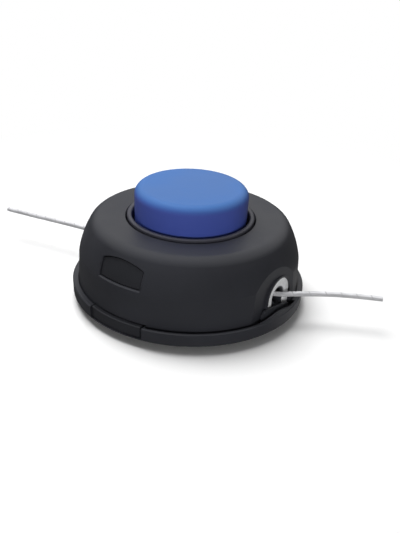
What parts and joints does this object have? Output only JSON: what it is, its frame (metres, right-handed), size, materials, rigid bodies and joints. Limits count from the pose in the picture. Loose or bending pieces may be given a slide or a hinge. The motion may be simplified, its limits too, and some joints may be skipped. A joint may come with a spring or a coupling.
{
  "type": "trimmer head",
  "caption": "Tap-feed line head for a grass trimmer: domed cover with press latches, sprung spool, free-spinning tap knob and metal line eyelets, driven through a threaded hub.",
  "frame": {"origin": "on the spin axis, at the rim of the drive boss that the head stands on", "axes": "+Z along the spin axis towards the tap knob, +X through one eyelet, the latches on Y"},
  "size_m": [0.227, 0.1246, 0.0622],
  "materials": {
    "black_plastic": "moulded, fine satin texture",
    "grey_plastic": "moulded, satin",
    "blue_plastic": "moulded, satin",
    "eyelet_metal": "bright, lightly tumbled",
    "line_nylon": "extruded nylon, slightly translucent",
    "steel": "bright zinc"
  },
  "bodies": {
    "base": {"base_housing": "black_plastic", "drive_nut": "steel", "cover": "black_plastic", "eyelet_right": "eyelet_metal", "eyelet_left": "eyelet_metal", "line_right": "line_nylon", "line_left": "line_nylon", "spring": "steel"},
    "tap_carriage": {"thrust_washer": "steel"},
    "spool": {"spool": "grey_plastic", "line_winding_lower": "line_nylon", "line_winding_upper": "line_nylon", "knob_screw": "steel", "screw_washer": "steel", "bearing_bush": "steel", "bearing_inner_ring": "steel"},
    "ball_set": {"bearing_balls": "steel", "bearing_cage": "steel"},
    "knob": {"tap_knob": "blue_plastic", "bearing_outer_ring": "steel", "bearing_shield_upper": "steel", "bearing_shield_lower": "steel", "circlip": "steel"},
    "latch_front": {"latch_tab_front": "black_plastic"},
    "latch_rear": {"latch_tab_rear": "black_plastic"}
  },
  "joints": [
    {"name": "tap", "type": "slide", "parent": "base", "child": "tap_carriage", "axis": [0, 0, -1], "range_m": [0, 0.005], "stiffness_N_per_m": 2500, "springref_m": -0.006, "deforming": ["spring"]},
    {"name": "spool_index", "type": "hinge", "parent": "tap_carriage", "child": "spool", "pos_m": [0, 0, 0.0336], "axis": [0, 0, 1], "range_deg": [-30, 0]},
    {"name": "knob_spin", "type": "hinge", "parent": "spool", "child": "knob", "pos_m": [0, 0, 0.0481], "axis": [0, 0, 1], "continuous": true},
    {"name": "ball_orbit", "type": "hinge", "parent": "spool", "child": "ball_set", "pos_m": [0, 0, 0.0481], "axis": [0, 0, 1], "continuous": true},
    {"name": "latch_front_press", "type": "hinge", "parent": "base", "child": "latch_front", "pos_m": [0, -0.0585, 0.006], "axis": [-1, 0, 0], "range_deg": [0, 8], "stiffness_Nm_per_rad": 1.5, "springref_deg": -3.44},
    {"name": "latch_rear_press", "type": "hinge", "parent": "base", "child": "latch_rear", "pos_m": [0, 0.0585, 0.006], "axis": [1, 0, 0], "range_deg": [0, 8], "stiffness_Nm_per_rad": 1.5, "springref_deg": -3.44}
  ],
  "couplings": [
    {"joint": "ball_orbit", "follows": "knob_spin", "ratio": 0.632}
  ]
}
